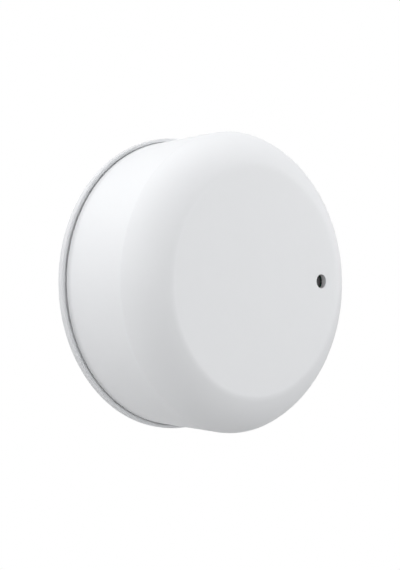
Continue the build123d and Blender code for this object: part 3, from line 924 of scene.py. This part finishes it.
class MakeBoardParts(bpy.types.Operator):
    """Make the parts on the board, with rounded bodies, leads and lids"""

    bl_idname = "beacon.board"
    bl_label = "Board Parts"

    def execute(self, context):
        colours = settings().colours
        tin = metal("Tin plate", colours.tin, 0.35)
        clay = package("Clock ceramic", colours.ceramic)
        tantalum = (0.16, 0.13, 0.06)
        glazed = (0.75, 0.74, 0.7)
        lens = label("Light lens", (0.85, 0.85, 0.75))
        self.make_leaded("converter", "voltage_converter", colours.chip, count=4)
        self.make_leaded("sensor", "motion_sensor", colours.chip, count=3)
        self.make_lidded("crystal", "radio_crystal", "tin_plate", tin, step=0.25)
        self.make_lidded("clock", "clock_crystal", "ceramic", clay, step=0.18)
        self.make_lidded("light", "status_light", "light_lens", lens, step=0.12)
        self.make_ended("reservoir", "bulk_capacitor", "chip_plastic", 1, "X", tantalum, end=0.6)
        self.make_ended("capacitors", "ceramic_capacitors", "ceramic", 5, "Z", colours.ceramic, end=0.27)
        self.make_ended("resistors", "chip_resistors", "chip_plastic", 5, "X", colours.chip, end=0.3)
        self.make_ended("aerial", "chip_antenna", "ceramic", 1, "Z", glazed, end=0.4)
        self.make_shield(tin)
        self.make_inductor(package("Ferrite", (0.09, 0.09, 0.095)))
        return {"FINISHED"}

    def make_leaded(self, name, node, tint, count):
        """A moulded chip on rows of flat leads along two of its sides, with a dimple by the first."""
        x, z, width, height, low, high = room(node)
        lead_reach = 0.2
        lead_width = height / (2 * count)
        body = rounded_block(width - 2 * lead_reach, height, low + 0.1, high, 0.1, 0.05, 0.95)
        piece = solid(body, name)
        leads = bmesh.new()
        for step in range(count):
            up = height * ((step + 0.5) / count - 0.5)
            block(leads, 0, up, width, lead_width, low, low + 0.25)
        combine(piece, leads, "UNION")
        dimple = bmesh.new()
        corner = (2 * lead_reach + 0.2 - width / 2, height / 2 - 0.4)
        posts(dimple, [corner], 0.16, high - 0.05, high + 0.2, sides=20)
        combine(piece, dimple, "DIFFERENCE")
        finish = ended("Chip " + name, tint, x, width / 2 - lead_reach - 0.02, "X", 0)
        settle(piece, finish, node, place=(x, z))

    def make_lidded(self, name, node, slot, finish, step):
        """A base with a smaller lid on it."""
        x, z, width, height, low, high = room(node)
        level = low + (high - low) * 0.45
        piece = solid(rounded_block(width, height, low, level, 0.12, 0.04), name)
        lid = rounded_block(width - 2 * step, height - 2 * step, level - 0.1, high, 0.25, 0.08)
        combine(piece, lid, "UNION")
        settle(piece, finish, node, place=(x, z))

    def make_ended(self, name, node, slot, count, axis, tint, end):
        """A run of bodies with a soldered metal end at each side."""
        x, z, width, height, low, high = room(node)
        pitch = 2.2
        tall = height - pitch * (count - 1)
        lift = (high - low) * 0.06
        inset = 0.06
        if axis == "X":
            long, middle, period = width, x, 0
            body_size, cap_size = (width, tall - inset), (end, tall)
            away = ((width - end) / 2, 0)
        else:
            long, middle, period = tall, z, pitch
            body_size, cap_size = (width - inset, tall), (width, end)
            away = (0, (tall - end) / 2)
        body = rounded_block(*body_size, low + lift, high - lift, 0.05, 0.04)
        cap = rounded_block(*cap_size, low, high, 0.06, 0.05)
        places = [(x, z + pitch * (step - (count - 1) / 2)) for step in range(count)]
        ends = [(x + side * away[0], z + side * away[1]) for side in (-1, 1) for x, z in places]
        piece = solid(copies(body, places), name)
        combine(piece, copies(cap, ends), "UNION")
        finish = ended("Ended " + name, tint, middle, long / 2 - end - 0.01, axis, period)
        settle(piece, finish, node)

    def make_shield(self, finish):
        """The can over the radio, with a pressed step and two rows of small holes."""
        x, z, width, height, low, high = room("radio_shield")
        border = 0.8
        over = high + 0.5
        can = solid(rounded_block(width, height, low, high, 0.6, 0.1), "shield")
        step = rounded_block(width - 2 * border, height - 2 * border, high - 0.12, over, 0.5, 0.05)
        combine(can, step, "DIFFERENCE")
        holes = bmesh.new()
        places = [(across, up) for across in (-2.1, 0, 2.1) for up in (-3.2, 3.2)]
        posts(holes, places, 0.35, high - 0.3, over, sides=20)
        combine(can, holes, "DIFFERENCE")
        settle(can, finish, "radio_shield", place=(x, z))

    def make_inductor(self, finish):
        """A ferrite drum between square flanges, with a waist for its winding."""
        x, z, width, height, low, high = room("power_inductor")
        flange = 0.35
        drum = solid(rounded_block(width, height, low, low + flange, 0.35, 0.05), "inductor")
        radius = width / 2 - 0.05
        waist = radius - 0.35
        wire = radius - 0.22
        turns = 5
        rise = (high - low - 2 * flange) / turns
        corners = [(0, low + 0.2, 0), (waist, low + 0.2, 0)]
        for count in range(turns):
            level = low + flange + rise * count
            corners.append((waist, level + rise * 0.1, 0))
            corners.append((wire, level + rise * 0.5, 0.04))
            corners.append((waist, level + rise * 0.9, 0))
        corners += [(waist, high - flange, 0), (radius, high - flange, 0.05)]
        corners += [(radius, high, 0.1), (0, high, 0)]
        combine(drum, turned(corners, 48), "UNION")
        settle(drum, finish, "power_inductor", place=(x, z))


class DressInside(bpy.types.Operator):
    """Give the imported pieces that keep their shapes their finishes"""

    bl_idname = "beacon.inside"
    bl_label = "Inside Finishes"

    def execute(self, context):
        colours = settings().colours
        dress(moulded("Cover white", colours.plate, 0.6), "rear_cover")
        dress(label("Label film", (0.86, 0.86, 0.85)), "blank_label")
        dress(moulded("Black tray", colours.tray, 0.5, grain=0.2, depth=0.008), "battery_tray")
        strips = ("contact_positive", "contact_negative", "contact_bridge", "switch_dome")
        dress(metal("Nickel strip", (0.66, 0.65, 0.60), 0.3), *strips)
        dress(laminate("Green board", colours.laminate), "circuit_board", "radio_module_board")
        dress(metal("Tin plate", colours.tin, 0.35), "switch_plate", "switch_legs")
        dress(package("Moulding compound", colours.chip), "switch_body")
        dress(metal("Gold pads", (0.80, 0.62, 0.28), 0.3), "test_pads")
        return {"FINISHED"}


class MakeStage(bpy.types.Operator):
    """Make the camera, the pale floor and the soft light"""

    bl_idname = "beacon.stage"
    bl_label = "Stage"

    # In metres: where the camera looks, left of the axis, out from the wall and under the axis, then
    # how far off and how wide the lamps are, and how far the floor reaches
    aim_left = 0.005466
    aim_out = 0.0155
    aim_drop = 0.000479
    lamp_distance = 1.6
    lamp_width = 1.1
    floor_radius = 6.0

    # How far from the axis the floor starts and ends to turn white to the camera, and where it starts
    # and ends to bounce more light behind the puck, in millimetres
    whitens = (120, 300)
    bounces = (-60, 50)

    # Each lamp: its turn round the puck and its height as angles in degrees, and its power in watts
    lamps = {
        "side": (-110, 45, 10.3),
        "fill": (-40, 0, 23.8),
        "right": (60, 0, 25.0),
        "top": (0, 88, 12.0),
        "rear": (-150, 45, 4.6),
        "back": (180, 0, 7.2),
    }

    def execute(self, context):
        stage = settings().stage
        self.make_camera(context.scene, stage)
        self.make_floor(stage.floor_drop)
        for name, (around, above, power) in self.lamps.items():
            self.make_lamp(name, math.radians(around), math.radians(above), power)
        self.make_world(context.scene, stage.ambient)
        context.scene.view_settings.view_transform = "Standard"
        return {"FINISHED"}

    def make_camera(self, scene, stage):
        """Put the camera at the photograph's angle."""
        camera = bpy.data.cameras.new("Camera")
        camera.lens = stage.lens
        camera.sensor_width = 36.0
        camera.clip_start = 0.01
        aim = Matrix.Translation((0, -self.aim_out, 0)) @ facing(-stage.turn, stage.tilt)
        away = Matrix.Translation((-self.aim_left, -self.aim_drop, stage.distance))
        scene.camera = add_object("Camera", camera)
        scene.camera.matrix_world = aim @ away @ Matrix.Rotation(stage.roll, 4, "Z")

    def make_floor(self, drop):
        """Lay the pale floor, white to the camera where no shadow falls."""
        shape = bmesh.new()
        bmesh.ops.create_circle(shape, cap_ends=True, segments=64, radius=self.floor_radius)
        bmesh.ops.translate(shape, verts=shape.verts, vec=(0, 0, -drop))
        floor = solid(shape, "floor")
        finish = Finish("Pale floor")
        across = finish.along("X")
        along = finish.along("Y")
        seen = finish.ray("Camera")
        far = finish.span(finish.math("SQRT", across * across + along * along), *self.whitens)
        behind = finish.span(along, *self.bounces)
        pale = finish.mix(seen, finish.mix(behind, grey(0.25), grey(0.95)), grey(0.8))
        finish.put("Base Color", finish.mix(far * seen, pale, grey(0)))
        finish.put("Roughness", 0.9)
        finish.put("Specular IOR Level", 0.0)
        finish.put("Emission Color", finish.mix(seen, grey(0), finish.mix(far, grey(0.25), grey(1))))
        finish.put("Emission Strength", 1.0)
        floor.data.materials.append(finish.material)

    def make_lamp(self, name, around, above, power):
        """Hang one square lamp that points at the puck."""
        lamp = bpy.data.lights.new(name, "AREA")
        lamp.size = self.lamp_width
        lamp.energy = power
        away = Matrix.Translation((0, 0, self.lamp_distance))
        add_object(name, lamp).matrix_world = facing(around, above) @ away

    def make_world(self, scene, ambient):
        """White to the camera and in reflections, and a soft light on the rest."""
        scene.world = bpy.data.worlds.new("Studio")
        nodes = Nodes(scene.world, "OutputWorld")
        shown = nodes.math("MAXIMUM", nodes.ray("Camera"), nodes.ray("Glossy"))
        shown = nodes.math("MAXIMUM", shown, nodes.ray("Transmission"))
        light = nodes.node("Background", {"Color": grey(1), "Strength": ambient})
        white = nodes.node("Background", {"Color": grey(1), "Strength": 1.0})
        nodes.feed(nodes.surface, nodes.node("MixShader", {0: shown, 1: light, 2: white}))


class BeaconPanel(bpy.types.Panel):
    """The beacon's steps, in the order in which they run"""

    bl_idname = "VIEW3D_PT_beacon"
    bl_label = "Wall Beacon"
    bl_space_type = "VIEW_3D"
    bl_region_type = "UI"
    bl_category = "Beacon"

    def draw(self, context):
        for step in STEPS:
            self.layout.operator(step.bl_idname)
        for name in Beacon.__annotations__:
            group = getattr(context.scene.beacon, name)
            box = self.layout.box()
            for key in group.__annotations__:
                box.prop(group, key)


STEPS = (
    MakeShell,
    MakePlate,
    MakePad,
    MakeButton,
    MakeCells,
    MakeFixings,
    MakeBoardParts,
    DressInside,
    MakeStage,
)
GROUPS = (ShellSizes, PlateSizes, BeaconColours, StageSizes, Beacon)


def register():
    for item in GROUPS + STEPS + (BeaconPanel,):
        bpy.utils.register_class(item)
    bpy.types.Scene.beacon = PointerProperty(type=Beacon)


def unregister():
    del bpy.types.Scene.beacon
    for item in reversed(GROUPS + STEPS + (BeaconPanel,)):
        bpy.utils.unregister_class(item)


def main():
    """Register the add-on and run every step."""
    register()
    for step in STEPS:
        group, name = step.bl_idname.split(".")
        getattr(getattr(bpy.ops, group), name)()


if __name__ == "__main__":
    main()
